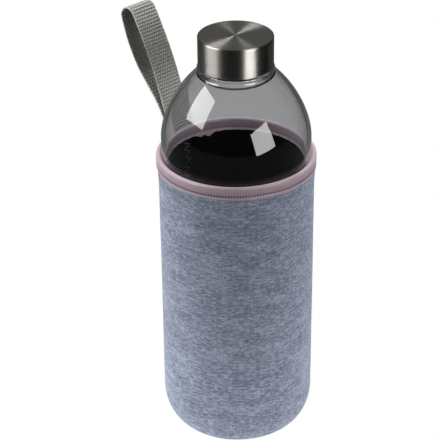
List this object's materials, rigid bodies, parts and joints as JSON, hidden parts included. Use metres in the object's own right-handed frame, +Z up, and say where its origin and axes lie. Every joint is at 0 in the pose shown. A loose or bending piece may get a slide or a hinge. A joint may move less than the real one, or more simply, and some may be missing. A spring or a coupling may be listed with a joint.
{
  "type": "glass water bottle with sleeve",
  "caption": "Clear glass drinking bottle with a domed shoulder and steel screw cap, standing in a bound neoprene sleeve with a webbing carrying loop.",
  "frame": {"origin": "on the bottle's axis, on the surface that the sleeve's base panel stands on", "axes": "+Z up along the bottle's axis; +Y towards the sleeve's side seam, where the carrying loop is sewn on; +X to the right of it"},
  "size_m": [0.0924, 0.1311, 0.2528],
  "materials": {
    "glass": "gloss",
    "steel": "satin",
    "insert_plastic": "satin",
    "silicone": "satin",
    "jersey": "matte",
    "foam": "matte",
    "lining": "matte",
    "binding": "satin",
    "binding_thread": "satin",
    "webbing": "satin",
    "dark_thread": "satin",
    "grey_thread": "satin"
  },
  "bodies": {
    "sleeve": {"sleeve_face": "jersey", "sleeve_core": "foam", "sleeve_lining": "lining", "base_panel_face": "jersey", "base_panel_core": "foam", "side_seam_thread": "dark_thread", "base_seam_thread": "grey_thread", "top_binding": "binding", "binding_thread": "binding_thread", "strap_ends": "webbing", "strap_thread": "grey_thread"},
    "bottle": {"glass_bottle": "glass"},
    "seal": {"cap_seal": "silicone"},
    "cap": {"cap_shell": "steel", "cap_insert": "insert_plastic"},
    "carrying_loop": {"strap_loop": "webbing"}
  },
  "joints": [
    {"name": "bottle_lift", "type": "slide", "parent": "sleeve", "child": "bottle", "axis": [0, 0, 1], "range_m": [0, 0.2]},
    {"name": "cap_lift", "type": "slide", "parent": "bottle", "child": "seal", "axis": [0, 0, 1], "range_m": [0, 0.0179]},
    {"name": "cap_turn", "type": "hinge", "parent": "seal", "child": "cap", "pos_m": [0, 0, 0.24], "axis": [0, 0, 1], "range_deg": [0, 1530]},
    {"name": "strap_swing", "type": "hinge", "parent": "sleeve", "child": "carrying_loop", "pos_m": [0, 0.04875, 0.18], "axis": [1, 0, 0], "range_deg": [-125, 18], "stiffness_Nm_per_rad": 0.012, "springref_deg": 5.73}
  ],
  "couplings": [
    {"joint": "cap_lift", "follows": "cap_turn", "m_per_rad": 0.00066845}
  ]
}
